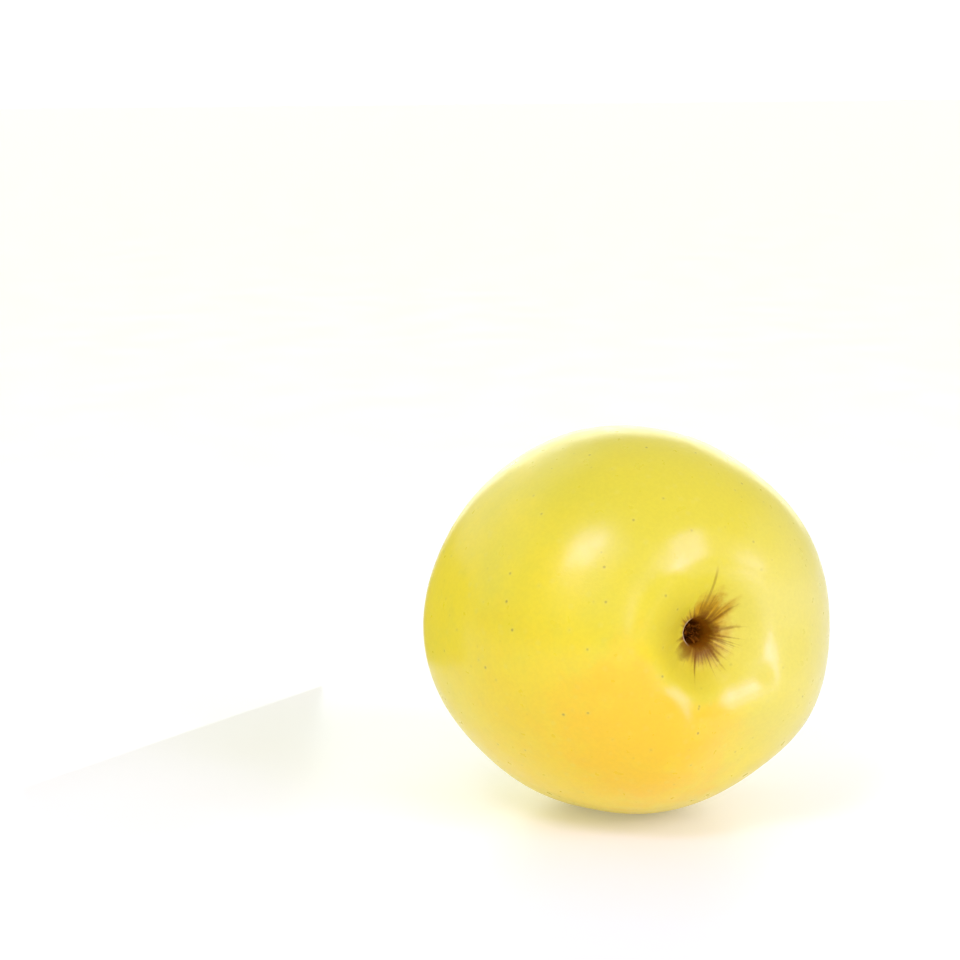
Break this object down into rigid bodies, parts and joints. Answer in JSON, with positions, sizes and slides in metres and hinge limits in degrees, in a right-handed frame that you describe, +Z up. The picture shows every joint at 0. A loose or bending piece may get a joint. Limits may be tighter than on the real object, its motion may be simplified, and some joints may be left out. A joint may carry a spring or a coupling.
{
  "type": "whole yellow apple",
  "caption": "Whole yellow apple lying on its side: lobed round fruit with a woody stem in a deep hollow and a withered calyx in a shallow basin.",
  "frame": {"origin": "centre of the small flat spot that the apple lies on, at floor level", "axes": "+Z up; +Y towards the stem end and -Y towards the blossom end, which is raised 6.4 degrees; +X across the apple"},
  "size_m": [0.0827, 0.0841, 0.0788],
  "materials": {
    "apple_skin": "waxy, soft gloss, greenish yellow with a golden orange blush",
    "stem_wood": "matte, brown, dark and rough at the knob",
    "withered_calyx": "dry, matte, dark brown"
  },
  "bodies": {
    "root": {"apple_body": "apple_skin", "stem": "stem_wood", "calyx": "withered_calyx"}
  },
  "joints": []
}
